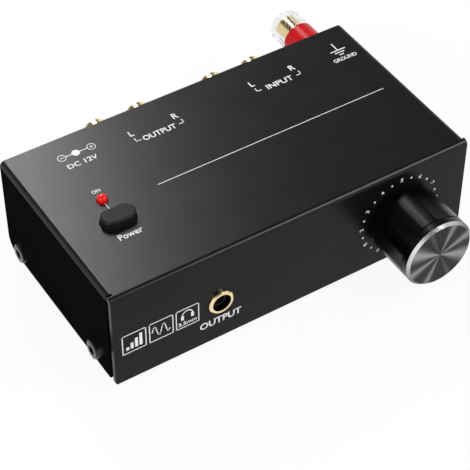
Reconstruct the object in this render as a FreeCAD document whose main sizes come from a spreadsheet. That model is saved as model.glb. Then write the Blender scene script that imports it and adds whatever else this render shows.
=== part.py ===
import FreeCAD, Part
import math
import os
from types import SimpleNamespace

import Sketcher

# Driving sizes in millimetres. Widths are counted from the middle of the case,
# depths from its front face towards the rear, heights from its underside.
SIZES = {
    # folded case
    "case_width": 110.0,
    "case_depth": 59.6,
    "case_height": 31.4,
    "sheet_thickness": 1.2,
    "bend_radius": 1.5,
    "bend_relief": 0.2,
    "corner_slot": 0.8,
    "case_gap": 0.1,
    "rear_setback": 0.4,
    "skirt_corner": 4.5,
    "small_corner": 0.8,
    # rubber feet
    "foot_height": 2.0,
    "foot_radius": 4.5,
    "foot_edge": 0.5,
    "foot_inset": 10.0,
    # screws in the sides
    "screw_front_inset": 6.7,
    "screw_rear_inset": 12.5,
    "screw_height": 9.0,
    "screw_radius": 1.45,
    "screw_length": 5.0,
    "screw_head_radius": 2.75,
    "screw_head_height": 3.0,
    "screw_head_edge": 0.3,
    "hex_socket_flats": 2.5,
    "hex_socket_depth": 1.6,
    "thread_gap": 0.05,
    "hole_gap": 0.15,
    "tab_width": 11.0,
    "tab_height": 14.0,
    # circuit board
    "board_side_gap": 5.2,
    "board_front": 3.5,
    "board_rear_gap": 0.8,
    "board_thickness": 1.6,
    "standoff_height": 6.0,
    "standoff_radius": 2.75,
    "standoff_side_inset": 4.0,
    "standoff_end_inset": 6.0,
    "board_screw_length": 6.0,
    "pan_head_radius": 2.6,
    "pan_head_height": 1.8,
    "cross_width": 0.8,
    "cross_depth": 0.9,
    # volume control
    "knob_inset": 21.52,
    "knob_z": 15.48,
    "knob_reach": 18.4,
    "knob_gap": 1.4,
    "knob_radius": 10.5,
    "knob_edge": 0.8,
    "knob_groove_depth": 0.3,
    "knob_groove_width": 0.4,
    "knob_band": 2.7,
    "knob_tail": 1.6,
    "knob_flats": 7,
    "knob_flat_depth": 0.26,
    "knob_turn": 14.15,
    "knob_hollow_radius": 7.2,
    "knob_hollow_depth": 4.6,
    "knob_shaft_depth": 14.0,
    "grub_radius": 1.4,
    "grub_length": 5.0,
    "grub_depth": 9.5,
    "grub_socket_flats": 1.5,
    "shaft_radius": 3.0,
    "running_gap": 0.05,
    "bushing_radius": 3.5,
    "bushing_length": 5.0,
    "pot_width": 9.8,
    "pot_height": 11.6,
    "pot_frame_depth": 2.0,
    "pot_depth": 5.6,
    "rotor_radius": 3.9,
    "rotor_thickness": 1.4,
    "rotor_gap": 0.3,
    "pot_nut_flats": 10.0,
    "pot_nut_height": 2.0,
    "pot_washer_radius": 5.6,
    "pot_washer_height": 0.5,
    # power button, switch and lamp
    "button_inset": 16.0,
    "button_y": 24.0,
    "button_length": 9.8,
    "button_width": 5.8,
    "button_rise": 2.5,
    "button_edge": 0.5,
    "button_gap": 0.3,
    "button_body": 10.0,
    "button_flange": 0.8,
    "button_flange_height": 0.9,
    "button_travel": 2.0,
    "plunger_width": 3.0,
    "plunger_grip": 3.0,
    "switch_width": 8.5,
    "switch_height": 9.0,
    "switch_floor": 1.2,
    "led_y": 32.4,
    "led_radius": 1.5,
    "led_rise": 1.8,
    "led_body": 3.8,
    "led_flange_radius": 1.9,
    "led_flange_height": 1.0,
    "led_pitch": 2.54,
    "lead_width": 0.5,
    "spacer_radius": 2.3,
    # headphone output
    "jack_inset": 31.65,
    "jack_z": 13.65,
    "jack_ring_radius": 3.7,
    "jack_ring_rise": 0.9,
    "jack_mouth_radius": 2.75,
    "jack_neck_radius": 3.0,
    "jack_throat_radius": 2.4,
    "jack_bore_radius": 1.8,
    "jack_bore_depth": 14.0,
    "jack_width": 11.0,
    "jack_height": 9.6,
    "jack_depth": 15.4,
    # phono sockets
    "socket_pitch": 13.6,
    "output_middle": -13.05,
    "input_middle": 25.3,
    "socket_z": 16.0,
    "barrel_radius": 4.15,
    "barrel_wall": 0.6,
    "barrel_reach": 13.3,
    "barrel_tail": 8.0,
    "barrel_step": 0.2,
    "collar_radius": 4.9,
    "collar_reach": 3.8,
    "insulator_setback": 0.6,
    "contact_radius": 2.05,
    "contact_bore": 1.65,
    "contact_setback": 1.6,
    "contact_length": 12.0,
    "block_width": 24.0,
    "block_depth": 12.0,
    "block_height": 14.2,
    "block_screw_rise": 4.5,
    "block_screw_length": 8.0,
    # power inlet
    "inlet_inset": 19.0,
    "inlet_rise": 6.5,
    "inlet_width": 9.0,
    "inlet_height": 11.0,
    "inlet_depth": 14.0,
    "inlet_bore_radius": 3.15,
    "inlet_bore_depth": 9.5,
    "inlet_pin_radius": 1.05,
    "inlet_pin_setback": 0.8,
    "inlet_pin_step": 0.25,
    "inlet_mouth_radius": 4.0,
    # ground terminal
    "post_inset": 7.7,
    "post_drop": 7.4,
    "post_radius": 4.94,
    "post_reach": 18.2,
    "stud_radius": 2.0,
    "stud_setback": 2.0,
    "stud_tail": 8.0,
    "post_collar_length": 2.7,
    "post_shoulder_radius": 3.4,
    "clamp_radius": 3.9,
    "clamp_height": 0.6,
    "core_radius": 3.25,
    "core_setback": 1.4,
    "red_length": 7.2,
    "shell_sides": 12,
    "shell_edge": 0.8,
    "shell_mouth_radius": 2.4,
    "post_gap": 0.05,
    "lock_nut_flats": 7.0,
    "lock_nut_height": 3.2,
    "bush_radius": 4.4,
    "bush_height": 1.0,
    "lug_radius": 3.6,
    "lug_thickness": 0.5,
    "lug_tail": 5.0,
    "wire_radius": 0.5,
    # parts on the board
    "front_row_y": 10.0,
    "rear_row_inset": 20.5,
    "row_pitch": 12.5,
    "chip_length": 9.4,
    "chip_width": 6.4,
    "chip_height": 3.3,
    "chip_rise": 0.6,
    "chip_pitch": 2.54,
    "chip_x": -4.0,
    "chip_spacing": 14.0,
    "small_can_radius": 3.15,
    "small_can_height": 11.0,
    "small_can_pitch": 8.5,
    "small_can_gap": 1.2,
    "rear_can_x": 30.0,
    "large_can_radius": 4.0,
    "large_can_height": 12.0,
    "large_can_x": -28.5,
    "large_can_pitch": 10.0,
    "large_can_shift": 2.0,
    "film_length": 7.2,
    "film_width": 3.0,
    "film_height": 6.5,
    "film_pitch": 6.0,
    "resistor_x": 17.0,
    "resistor_radius": 1.1,
    "resistor_length": 6.2,
    "resistor_pitch": 3.0,
    "regulator_x": -22.0,
    "regulator_shift": 3.0,
    "regulator_width": 10.0,
    "regulator_thickness": 4.4,
    "regulator_height": 9.0,
    "regulator_rise": 3.0,
    "tab_thickness": 1.3,
    "tab_rise": 6.0,
}

doc = FreeCAD.newDocument("phono_preamp")
sheet = doc.addObject("Spreadsheet::Sheet", "sizes")
for row, (alias, number) in enumerate(SIZES.items(), start=1):
    sheet.set(f"A{row}", alias.replace("_", " "))
    sheet.set(f"B{row}", str(number))
    sheet.setAlias(f"B{row}", alias)
doc.recompute()


class Size:
    """A length that keeps its number together with the formula that gives it."""

    def __init__(self, number, formula):
        self.number = float(number)
        self.formula = formula

    def __add__(self, other):
        other = as_size(other)
        return Size(self.number + other.number, f"({self.formula} + {other.formula})")

    def __radd__(self, other):
        return as_size(other) + self

    def __sub__(self, other):
        other = as_size(other)
        return Size(self.number - other.number, f"({self.formula} - {other.formula})")

    def __rsub__(self, other):
        return as_size(other) - self

    def __mul__(self, other):
        other = as_size(other)
        return Size(self.number * other.number, f"({self.formula} * {other.formula})")

    def __rmul__(self, other):
        return as_size(other) * self

    def __truediv__(self, other):
        other = as_size(other)
        return Size(self.number / other.number, f"({self.formula} / {other.formula})")

    def __neg__(self):
        return Size(-self.number, f"(-1 * {self.formula})")


def as_size(value):
    """Wraps a plain number so that it can join a formula."""
    return value if isinstance(value, Size) else Size(value, repr(float(value)))


S = SimpleNamespace(**{name: Size(number, f"sizes.{name}") for name, number in SIZES.items()})

# Places that several sub-parts share.
FRONT = -(S.case_depth + S.post_reach - S.knob_reach) / 2
FLOOR = S.foot_height
HALF_WIDTH = S.case_width / 2
INNER_HALF = HALF_WIDTH - S.sheet_thickness
CEILING = S.case_height - S.sheet_thickness
FLANGE_FRONT = S.bend_radius + S.bend_relief + S.corner_slot
INNER_BEND = S.bend_radius - S.sheet_thickness
TRAY_HALF = INNER_HALF - S.case_gap
REAR_FACE = S.case_depth - S.rear_setback
REAR_INSIDE = REAR_FACE - S.sheet_thickness
SCREW_DEPTHS = (S.screw_front_inset, S.case_depth - S.screw_rear_inset)
BOARD_TOP = S.sheet_thickness + S.standoff_height + S.board_thickness
BOARD_HALF = TRAY_HALF - S.board_side_gap
BOARD_REAR = REAR_INSIDE - S.board_rear_gap
STANDOFF_X = BOARD_HALF - S.standoff_side_inset
STANDOFF_DEPTHS = (S.board_front + S.standoff_end_inset, BOARD_REAR - S.standoff_end_inset)
STANDOFF_PITCH = STANDOFF_DEPTHS[1] - STANDOFF_DEPTHS[0]
KNOB_X = HALF_WIDTH - S.knob_inset
BUTTON_X = S.button_inset - HALF_WIDTH
JACK_X = S.jack_inset - HALF_WIDTH
INLET_X = S.inlet_inset - HALF_WIDTH
POST_X = HALF_WIDTH - S.post_inset
POST_Z = CEILING - S.post_drop
REAR_ROW = REAR_INSIDE - S.rear_row_inset
CHIP_ROW = REAR_ROW - S.row_pitch
SOCKET_MIDDLES = {"output": S.output_middle, "input": S.input_middle}
SOCKET_SIDES = {"left": -S.socket_pitch / 2, "right": S.socket_pitch / 2}

AXES = {
    "X": FreeCAD.Vector(1, 0, 0),
    "Y": FreeCAD.Vector(0, 1, 0),
    "Z": FreeCAD.Vector(0, 0, 1),
}
SUB_PARTS = []


def bind(thing, prop, value):
    """Ties a property of an object to the formula of a size."""
    thing.setExpression(prop, as_size(value).formula)


def place(thing, x, y, z, rotation=None):
    """Puts an object at a point of the case, given by width, depth and height."""
    rotation = rotation or FreeCAD.Rotation()
    thing.Placement = FreeCAD.Placement(FreeCAD.Vector(), rotation)
    bind(thing, "Placement.Base.x", x)
    bind(thing, "Placement.Base.y", FRONT + y)
    bind(thing, "Placement.Base.z", FLOOR + z)
    return thing


def keep(label, thing):
    """Names a finished sub-part and adds it to those that are written out."""
    thing.Label = label
    SUB_PARTS.append(thing)
    return thing


def block(name, across, along, up):
    """A box between two widths, two depths and two heights."""
    solid = doc.addObject("Part::Box", name)
    place(solid, across[0], along[0], up[0])
    bind(solid, "Length", across[1] - across[0])
    bind(solid, "Width", along[1] - along[0])
    bind(solid, "Height", up[1] - up[0])
    return solid


def rod(name, axis, radius, start, length):
    """A cylinder that runs from its start point along an axis."""
    solid = doc.addObject("Part::Cylinder", name)
    place(solid, *start, FreeCAD.Rotation(AXES["Z"], AXES[axis]))
    bind(solid, "Radius", radius)
    bind(solid, "Height", length)
    return solid


def hex_rod(name, axis, flats, start, length):
    """A hexagonal bar of a given width across its flats."""
    solid = doc.addObject("Part::Prism", name)
    place(solid, *start, FreeCAD.Rotation(AXES["Z"], AXES[axis]))
    solid.Polygon = 6
    bind(solid, "Circumradius", flats / math.sqrt(3))
    bind(solid, "Height", length)
    return solid


def cut(name, base, *tools):
    """The base with every tool taken away."""
    result = doc.addObject("Part::Cut", name)
    result.Base = base
    result.Tool = tools[0] if len(tools) == 1 else group(name + "_tools", *tools)
    return result


def fuse(name, *pieces):
    """Several shapes joined into one solid."""
    result = doc.addObject("Part::MultiFuse", name)
    result.Shapes = pieces
    result.Refine = True
    return result


def group(name, *pieces):
    """Several separate solids held together in one node."""
    result = doc.addObject("Part::Compound", name)
    result.Links = pieces
    return result


def tube(name, axis, outer, inner, start, length):
    """A cylinder with a bore right through it."""
    bore = rod(name + "_bore", axis, inner, start, length)
    return cut(name, rod(name + "_outside", axis, outer, start, length), bore)


def new_body(name, x=0, y=0, z=0, rotation=None):
    """An empty body whose own origin lies at a point of the case."""
    return place(doc.addObject("PartDesign::Body", name), x, y, z, rotation)


def origin_feature(body, role):
    """One of a body's own origin planes or axes."""
    return next(item for item in body.Origin.OriginFeatures if item.Role == role)


def new_sketch(body, plane, name, level=0):
    """An empty sketch on an origin plane, moved along that plane's axis to a level."""
    sketch = body.newObject("Sketcher::SketchObject", name)
    sketch.AttachmentSupport = (origin_feature(body, plane), [""])
    sketch.MapMode = "FlatFace"
    level = as_size(level)
    bind(sketch, "AttachmentOffset.Base.z", -level if plane == "XZ_Plane" else level)
    return sketch


def fix_point(sketch, item, spot, u, v):
    """Fixes one point of a sketch element by its distances from the origin."""
    for kind, value in (("DistanceX", as_size(u)), ("DistanceY", as_size(v))):
        index = sketch.addConstraint(Sketcher.Constraint(kind, -1, 1, item, spot, value.number))
        bind(sketch, f"Constraints[{index}]", value)


def fix_radius(sketch, item, radius):
    """Fixes the radius of a circle or an arc."""
    radius = as_size(radius)
    index = sketch.addConstraint(Sketcher.Constraint("Radius", item, radius.number))
    bind(sketch, f"Constraints[{index}]", radius)


def draw_outline(sketch, corners):
    """Adds a closed outline of straight lines through the corners."""
    points = [FreeCAD.Vector(as_size(u).number, as_size(v).number, 0) for u, v in corners]
    count = len(points)
    first = sketch.GeometryCount
    for index in range(count):
        sketch.addGeometry(Part.LineSegment(points[index], points[(index + 1) % count]))
    for index in range(count):
        following = first + (index + 1) % count
        sketch.addConstraint(Sketcher.Constraint("Coincident", first + index, 2, following, 1))
    for index, (u, v) in enumerate(corners):
        fix_point(sketch, first + index, 1, u, v)


def draw_box(sketch, left, right, low, high):
    """Adds a rectangle between two levels each way."""
    draw_outline(sketch, [(left, low), (right, low), (right, high), (left, high)])


def draw_circle(sketch, u, v, radius):
    """Adds a circle."""
    centre = FreeCAD.Vector(as_size(u).number, as_size(v).number, 0)
    item = sketch.addGeometry(Part.Circle(centre, AXES["Z"], as_size(radius).number))
    fix_point(sketch, item, 3, u, v)
    fix_radius(sketch, item, radius)


def draw_slot(sketch, u, v, length, width):
    """Adds a slot with round ends, its length along the sketch's first axis."""
    radius = as_size(width) / 2
    reach = as_size(length) / 2 - radius
    middle = FreeCAD.Vector(as_size(u).number, as_size(v).number, 0)
    aside = FreeCAD.Vector(reach.number, 0, 0)
    above = FreeCAD.Vector(0, radius.number, 0)
    quarter = math.pi / 2
    circles = [Part.Circle(middle + aside * side, AXES["Z"], radius.number) for side in (-1, 1)]
    left = sketch.addGeometry(Part.ArcOfCircle(circles[0], quarter, 3 * quarter))
    low = sketch.addGeometry(Part.LineSegment(middle - aside - above, middle + aside - above))
    right = sketch.addGeometry(Part.ArcOfCircle(circles[1], -quarter, quarter))
    high = sketch.addGeometry(Part.LineSegment(middle + aside + above, middle - aside + above))
    for one, other in ((left, low), (low, right), (right, high), (high, left)):
        sketch.addConstraint(Sketcher.Constraint("Tangent", one, 2, other, 1))
    sketch.addConstraint(Sketcher.Constraint("Equal", left, right))
    fix_point(sketch, left, 3, u - reach, v)
    fix_point(sketch, right, 3, u + reach, v)
    fix_radius(sketch, left, radius)


def extrude(kind, body, name, sketch, length):
    """Pads or pockets a sketch along the positive direction of its plane's axis."""
    feature = body.newObject(f"PartDesign::{kind}", name)
    feature.Profile = sketch
    bind(feature, "Length", length)
    on_front_plane = sketch.AttachmentSupport[0][0].Role == "XZ_Plane"
    feature.Reversed = on_front_plane if kind == "Pad" else not on_front_plane
    return feature


def revolve(body, name, corners, plane="XY_Plane"):
    """Turns an outline, given by radius and height, about the sketch's second axis."""
    sketch = new_sketch(body, plane, name + "_profile")
    draw_outline(sketch, corners)
    feature = body.newObject("PartDesign::Revolution", name)
    feature.Profile = sketch
    feature.ReferenceAxis = (sketch, ["V_Axis"])
    return feature


def soften(kind, body, name, size, spots):
    """Rounds or bevels the edges that pass through the given spots of a body."""
    doc.recompute()
    base = body.Tip
    chosen = []
    for spot in spots:
        vertex = Part.Vertex(*[as_size(value).number for value in spot])
        gaps = [vertex.distToShape(edge)[0] for edge in base.Shape.Edges]
        chosen.append(f"Edge{gaps.index(min(gaps)) + 1}")
    feature = body.newObject(f"PartDesign::{kind}", name)
    feature.Base = (base, chosen)
    bind(feature, "Radius" if kind == "Fillet" else "Size", size)
    return feature


def repeat_on_grid(body, name, steps):
    """Repeats the whole body along one or two axes, each with its pitch, twice per axis."""
    doc.recompute()
    pattern = body.newObject("PartDesign::LinearPattern", name)
    pattern.TransformMode = "Whole shape"
    for suffix, (axis, pitch) in zip(("", "2"), steps):
        setattr(pattern, "Direction" + suffix, (origin_feature(body, axis + "_Axis"), [""]))
        setattr(pattern, "Occurrences" + suffix, 2)
        bind(pattern, "Length" + suffix, pitch)
    body.Tip = pattern
    return pattern


def repeat_round(body, name, features, count):
    """Repeats features evenly round the body's second axis."""
    doc.recompute()
    pattern = body.newObject("PartDesign::PolarPattern", name)
    pattern.Originals = features
    pattern.Axis = (origin_feature(body, "Y_Axis"), [""])
    pattern.Angle = 360
    bind(pattern, "Occurrences", count)
    body.Tip = pattern
    return pattern


# Case


def make_top_cover():
    """Cover folded from one sheet: the top, the front and both sides."""
    cover = new_body("top_cover")
    around = new_sketch(cover, "XZ_Plane", "sides_and_top", FLANGE_FRONT)
    draw_outline(around, [
        (-HALF_WIDTH, 0), (-HALF_WIDTH, S.case_height), (HALF_WIDTH, S.case_height), (HALF_WIDTH, 0),
        (INNER_HALF, 0), (INNER_HALF, CEILING), (-INNER_HALF, CEILING), (-INNER_HALF, 0),
    ])
    extrude("Pad", cover, "side_flanges", around, S.case_depth - FLANGE_FRONT)
    front = new_sketch(cover, "YZ_Plane", "front_outline", -HALF_WIDTH)
    lip = S.bend_radius + S.bend_relief
    draw_outline(front, [
        (0, 0), (0, S.case_height), (lip, S.case_height), (lip, CEILING),
        (S.sheet_thickness, CEILING), (S.sheet_thickness, 0),
    ])
    extrude("Pad", cover, "front_flange", front, S.case_width)
    strip = new_sketch(cover, "XY_Plane", "strip_outline", CEILING)
    strip_half = HALF_WIDTH - lip
    draw_box(strip, -strip_half, strip_half, lip, FLANGE_FRONT)
    extrude("Pad", cover, "top_strip", strip, S.sheet_thickness)
    middle = S.case_depth / 2
    soften("Fillet", cover, "outer_bends", S.bend_radius, [
        (-HALF_WIDTH, middle, S.case_height), (HALF_WIDTH, middle, S.case_height), (0, 0, S.case_height),
    ])
    soften("Fillet", cover, "inner_bends", INNER_BEND, [
        (-INNER_HALF, middle, CEILING), (INNER_HALF, middle, CEILING), (0, S.sheet_thickness, CEILING),
    ])
    wall_middle = HALF_WIDTH - S.sheet_thickness / 2
    soften("Fillet", cover, "rear_corners", S.skirt_corner, [
        (-wall_middle, S.case_depth, 0), (wall_middle, S.case_depth, 0),
    ])
    soften("Fillet", cover, "front_corners", S.small_corner, [
        (-wall_middle, FLANGE_FRONT, 0), (wall_middle, FLANGE_FRONT, 0),
        (-HALF_WIDTH, S.sheet_thickness / 2, 0), (HALF_WIDTH, S.sheet_thickness / 2, 0),
    ])
    front_holes = new_sketch(cover, "XZ_Plane", "front_holes_outline")
    draw_circle(front_holes, KNOB_X, S.knob_z, S.bushing_radius + S.hole_gap)
    draw_circle(front_holes, JACK_X, S.jack_z, S.jack_neck_radius + S.hole_gap)
    extrude("Pocket", cover, "front_holes", front_holes, S.sheet_thickness)
    top_holes = new_sketch(cover, "XY_Plane", "top_holes_outline", CEILING)
    draw_circle(top_holes, BUTTON_X, S.led_y, S.led_radius + S.hole_gap)
    draw_slot(top_holes, BUTTON_X, S.button_y, S.button_length + 2 * S.button_gap,
              S.button_width + 2 * S.button_gap)
    extrude("Pocket", cover, "top_holes", top_holes, S.sheet_thickness)
    side_holes = new_sketch(cover, "YZ_Plane", "side_holes_outline", -HALF_WIDTH)
    for depth in SCREW_DEPTHS:
        draw_circle(side_holes, depth, S.screw_height, S.screw_radius + S.hole_gap)
    extrude("Pocket", cover, "side_holes", side_holes, S.case_width)
    return keep("top_cover", cover)


def make_base_tray():
    """Tray folded from one sheet: the bottom, the rear wall and four screw tabs."""
    tray = new_body("base_tray")
    front_edge = S.sheet_thickness + S.case_gap
    side = new_sketch(tray, "YZ_Plane", "bottom_and_rear", -TRAY_HALF)
    draw_outline(side, [
        (front_edge, 0), (REAR_FACE, 0), (REAR_FACE, CEILING - S.case_gap),
        (REAR_INSIDE, CEILING - S.case_gap), (REAR_INSIDE, S.sheet_thickness),
        (front_edge, S.sheet_thickness),
    ])
    extrude("Pad", tray, "bottom_and_rear_wall", side, 2 * TRAY_HALF)
    tab_half = S.tab_width / 2
    relief = S.bend_radius + S.bend_relief
    notches = new_sketch(tray, "XY_Plane", "tab_notches_outline")
    tabs = new_sketch(tray, "XY_Plane", "tabs_outline")
    for side_sign in (-1, 1):
        edge = side_sign * TRAY_HALF
        inset = side_sign * (TRAY_HALF - relief)
        wall = side_sign * (TRAY_HALF - S.sheet_thickness)
        for depth in SCREW_DEPTHS:
            draw_box(tabs, wall, edge, depth - tab_half, depth + tab_half)
            for near, far in ((-tab_half - S.corner_slot, -tab_half), (tab_half, tab_half + S.corner_slot)):
                draw_box(notches, inset, edge, depth + near, depth + far)
    extrude("Pocket", tray, "tab_notches", notches, S.sheet_thickness)
    extrude("Pad", tray, "screw_tabs", tabs, S.tab_height)
    outer_spots = [(side_sign * TRAY_HALF, depth, 0) for side_sign in (-1, 1) for depth in SCREW_DEPTHS]
    inner_spots = [
        (side_sign * (TRAY_HALF - S.sheet_thickness), depth, S.sheet_thickness)
        for side_sign in (-1, 1) for depth in SCREW_DEPTHS
    ]
    soften("Fillet", tray, "outer_bends", S.bend_radius, outer_spots + [(0, REAR_FACE, 0)])
    soften("Fillet", tray, "inner_bends", INNER_BEND, inner_spots + [(0, REAR_INSIDE, S.sheet_thickness)])
    rear_holes = new_sketch(tray, "XZ_Plane", "rear_holes_outline", REAR_INSIDE)
    for middle in SOCKET_MIDDLES.values():
        for offset in SOCKET_SIDES.values():
            draw_circle(rear_holes, middle + offset, S.socket_z, S.collar_radius + S.hole_gap)
        draw_circle(rear_holes, middle, S.socket_z + S.block_screw_rise, S.screw_radius + S.hole_gap)
    draw_circle(rear_holes, INLET_X, BOARD_TOP + S.inlet_rise, S.inlet_mouth_radius)
    draw_circle(rear_holes, POST_X, POST_Z, S.post_shoulder_radius + S.hole_gap)
    extrude("Pocket", tray, "rear_holes", rear_holes, S.sheet_thickness)
    tab_holes = new_sketch(tray, "YZ_Plane", "tab_holes_outline", -TRAY_HALF)
    for depth in SCREW_DEPTHS:
        draw_circle(tab_holes, depth, S.screw_height, S.screw_radius + S.thread_gap)
    extrude("Pocket", tray, "tab_holes", tab_holes, 2 * TRAY_HALF)
    return keep("base_tray", tray)


def make_side_screws():
    """Four cap screws with hexagon sockets, two through each side of the cover."""
    screws = []
    for side_sign, axis_turn in ((-1, 180), (1, 0)):
        for number, depth in enumerate(SCREW_DEPTHS):
            turned = FreeCAD.Rotation(AXES["Z"], axis_turn) * FreeCAD.Rotation(AXES["Z"], -90)
            screw = new_body(f"side_screw_{axis_turn}_{number}", side_sign * HALF_WIDTH, depth,
                             S.screw_height, turned)
            revolve(screw, "turned_form", [
                (0, -S.screw_length), (S.screw_radius, -S.screw_length), (S.screw_radius, 0),
                (S.screw_head_radius, 0), (S.screw_head_radius, S.screw_head_height), (0, S.screw_head_height),
            ])
            soften("Chamfer", screw, "head_edge", S.screw_head_edge,
                   [(0, S.screw_head_height, S.screw_head_radius)])
            sketch = new_sketch(screw, "XZ_Plane", "hex_outline", S.screw_head_height - S.hex_socket_depth)
            radius = S.hex_socket_flats / math.sqrt(3)
            draw_outline(sketch, [
                (radius * math.cos(math.radians(angle)), radius * math.sin(math.radians(angle)))
                for angle in range(0, 360, 60)
            ])
            extrude("Pocket", screw, "hex_socket", sketch, S.hex_socket_depth)
            screws.append(screw)
    return keep("side_screws", group("side_screw_group", *screws))


def make_rubber_feet():
    """Four round feet stuck under the tray."""
    inset = S.foot_inset
    feet = new_body("rubber_feet", -(HALF_WIDTH - inset), inset, -S.foot_height)
    sketch = new_sketch(feet, "XY_Plane", "foot_outline")
    draw_circle(sketch, 0, 0, S.foot_radius)
    extrude("Pad", feet, "foot", sketch, S.foot_height)
    soften("Chamfer", feet, "foot_edge", S.foot_edge, [(0, S.foot_radius, 0)])
    repeat_on_grid(feet, "four_feet", [("X", S.case_width - 2 * inset), ("Y", S.case_depth - 2 * inset)])
    return keep("rubber_feet", feet)


def make_board_standoffs():
    """Four threaded pillars that carry the circuit board."""
    pillars = new_body("board_standoffs", -STANDOFF_X, STANDOFF_DEPTHS[0], S.sheet_thickness)
    sketch = new_sketch(pillars, "XY_Plane", "pillar_outline")
    draw_circle(sketch, 0, 0, S.standoff_radius)
    draw_circle(sketch, 0, 0, S.screw_radius + S.thread_gap)
    extrude("Pad", pillars, "pillar", sketch, S.standoff_height)
    repeat_on_grid(pillars, "four_pillars", [("X", 2 * STANDOFF_X), ("Y", STANDOFF_PITCH)])
    return keep("board_standoffs", pillars)


def pan_head_screw(body, length):
    """A pan head screw along the body's third axis, its head seated at height zero."""
    shank = new_sketch(body, "XY_Plane", "shank_outline", -length)
    draw_circle(shank, 0, 0, S.screw_radius)
    extrude("Pad", body, "shank", shank, length)
    head = new_sketch(body, "XY_Plane", "head_outline")
    draw_circle(head, 0, 0, S.pan_head_radius)
    extrude("Pad", body, "head", head, S.pan_head_height)
    soften("Chamfer", body, "head_bevel", S.pan_head_height / 3, [(0, S.pan_head_radius, S.pan_head_height)])
    cross = new_sketch(body, "XY_Plane", "cross_outline", S.pan_head_height - S.cross_depth)
    arm = S.pan_head_radius * 0.6
    half = S.cross_width / 2
    draw_outline(cross, [
        (-arm, -half), (-half, -half), (-half, -arm), (half, -arm), (half, -half), (arm, -half),
        (arm, half), (half, half), (half, arm), (-half, arm), (-half, half), (-arm, half),
    ])
    extrude("Pocket", body, "cross_recess", cross, S.cross_depth)


def make_board_screws():
    """Four pan head screws that hold the board on its pillars."""
    screws = new_body("board_screws", -STANDOFF_X, STANDOFF_DEPTHS[0], BOARD_TOP)
    pan_head_screw(screws, S.board_screw_length)
    repeat_on_grid(screws, "four_screws", [("X", 2 * STANDOFF_X), ("Y", STANDOFF_PITCH)])
    return keep("board_screws", screws)


def make_circuit_board():
    """The board that carries every electrical part, with its four screw holes."""
    board = new_body("circuit_board", 0, 0, BOARD_TOP - S.board_thickness)
    sketch = new_sketch(board, "XY_Plane", "board_outline")
    draw_box(sketch, -BOARD_HALF, BOARD_HALF, S.board_front, BOARD_REAR)
    for x in (-STANDOFF_X, STANDOFF_X):
        for y in STANDOFF_DEPTHS:
            draw_circle(sketch, x, y, S.screw_radius + S.hole_gap)
    extrude("Pad", board, "board", sketch, S.board_thickness)
    return keep("circuit_board", board)


# Volume control

POT_FRONT = S.sheet_thickness
POT_MIDDLE = POT_FRONT + S.pot_frame_depth
POT_REAR = POT_MIDDLE + S.pot_depth
ROTOR_FRONT = POT_FRONT + S.rotor_gap + 0.4
CAVITY_RADIUS = S.rotor_radius + S.rotor_gap


def knob_point(y):
    """A point on the axis of the volume control."""
    return (KNOB_X, y, S.knob_z)


def make_potentiometer():
    """Frame with its threaded bushing, housing, pins, nut and washer."""
    half = S.pot_width / 2
    across = (KNOB_X - half, KNOB_X + half)
    up = (BOARD_TOP, BOARD_TOP + S.pot_height)
    bore = S.shaft_radius + S.running_gap
    plate = block("pot_plate", across, (POT_FRONT, POT_MIDDLE), up)
    bushing = rod("pot_bushing", "Y", S.bushing_radius, knob_point(-S.bushing_length),
                  S.bushing_length + POT_FRONT)
    frame = cut(
        "pot_frame", fuse("pot_frame_solid", plate, bushing),
        rod("pot_frame_bore", "Y", bore, knob_point(-S.bushing_length), S.bushing_length + POT_MIDDLE),
        rod("pot_frame_recess", "Y", CAVITY_RADIUS, knob_point(ROTOR_FRONT - S.rotor_gap),
            POT_MIDDLE - ROTOR_FRONT + S.rotor_gap),
    )
    keep("potentiometer_frame", frame)
    cavity_depth = ROTOR_FRONT + S.rotor_thickness + S.rotor_gap - POT_MIDDLE
    housing = cut(
        "pot_housing", block("pot_housing_block", across, (POT_MIDDLE, POT_REAR), up),
        rod("pot_housing_recess", "Y", CAVITY_RADIUS, knob_point(POT_MIDDLE), cavity_depth),
    )
    keep("potentiometer_housing", housing)
    pins = []
    for number in (-1, 0, 1):
        middle = KNOB_X + number * S.chip_pitch
        pins.append(block(
            f"pot_pin_{number + 1}", (middle - S.lead_width / 2, middle + S.lead_width / 2),
            (POT_REAR, POT_REAR + S.lead_width), (BOARD_TOP, BOARD_TOP + S.chip_rise + S.chip_height),
        ))
    keep("potentiometer_pins", group("pot_pin_group", *pins))
    washer = tube("pot_washer", "Y", S.pot_washer_radius, S.bushing_radius + S.thread_gap,
                  knob_point(-S.pot_washer_height), S.pot_washer_height)
    keep("potentiometer_washer", washer)
    nut_front = knob_point(-S.pot_washer_height - S.pot_nut_height)
    nut = cut(
        "pot_nut", hex_rod("pot_nut_hex", "Y", S.pot_nut_flats, nut_front, S.pot_nut_height),
        rod("pot_nut_bore", "Y", S.bushing_radius + S.thread_gap, nut_front, S.pot_nut_height),
    )
    keep("potentiometer_nut", nut)


def make_potentiometer_shaft():
    """Shaft with the wiper disc that turns inside the housing."""
    shaft = new_body("potentiometer_shaft", *knob_point(0))
    tip = -S.knob_gap - S.knob_shaft_depth
    rotor_rear = ROTOR_FRONT + S.rotor_thickness
    revolve(shaft, "turned_shaft", [
        (0, tip), (S.shaft_radius, tip), (S.shaft_radius, ROTOR_FRONT), (S.rotor_radius, ROTOR_FRONT),
        (S.rotor_radius, rotor_rear), (0, rotor_rear),
    ])
    return keep("potentiometer_shaft", shaft)


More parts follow.
